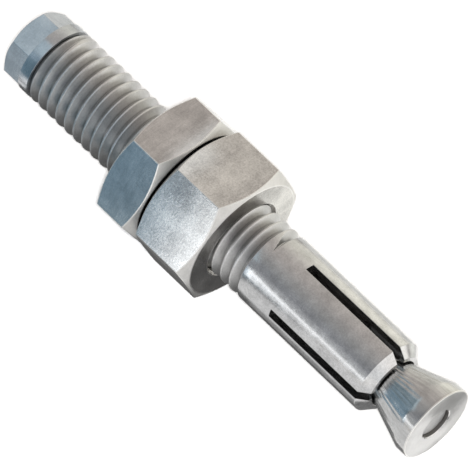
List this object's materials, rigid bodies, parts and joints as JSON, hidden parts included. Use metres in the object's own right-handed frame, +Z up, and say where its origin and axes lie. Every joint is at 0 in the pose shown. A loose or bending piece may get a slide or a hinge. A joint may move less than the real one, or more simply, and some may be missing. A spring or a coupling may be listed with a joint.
{
  "type": "blind bolt",
  "caption": "Blind expansion bolt: a threaded sleeve with a slotted tip, spread by a serrated cone that a draw bolt pulls in, with a full nut and a lock nut.",
  "frame": {"origin": "on the bolt's axis, in the plane of the full nut's clamping face", "axes": "+X along the bolt's axis towards the expander cone; +Z up as the bolt lies on its nuts, with a flat of the full nut turned down"},
  "size_m": [0.0694, 0.0194, 0.0178],
  "materials": {
    "sleeve_steel": "bright turned steel, satin",
    "bolt_steel": "bright zinc-plated steel, satin",
    "cone_steel": "bright steel, serrated flank",
    "nut_steel": "bright steel, satin flats"
  },
  "bodies": {
    "sleeve": {"sleeve": "sleeve_steel"},
    "draw_bolt": {"draw_bolt": "bolt_steel"},
    "expander_cone": {"expander_cone": "cone_steel"},
    "full_nut": {"full_nut": "nut_steel"},
    "lock_nut": {"lock_nut": "nut_steel"}
  },
  "joints": [
    {"name": "bolt_turn", "type": "hinge", "parent": "sleeve", "child": "draw_bolt", "pos_m": [0, 0, 0], "axis": [1, 0, 0], "range_deg": [-1440, 180]},
    {"name": "cone_travel", "type": "slide", "parent": "sleeve", "child": "expander_cone", "axis": [1, 0, 0], "range_m": [-0.0004, 0.0032]},
    {"name": "full_nut_travel", "type": "slide", "parent": "sleeve", "child": "full_nut", "axis": [1, 0, 0], "range_m": [0, 0.003]},
    {"name": "lock_nut_travel", "type": "slide", "parent": "sleeve", "child": "lock_nut", "axis": [-1, 0, 0], "range_m": [0, 0.015]}
  ],
  "couplings": [
    {"joint": "bolt_turn", "follows": "cone_travel", "rad_per_m": -7853.9}
  ]
}
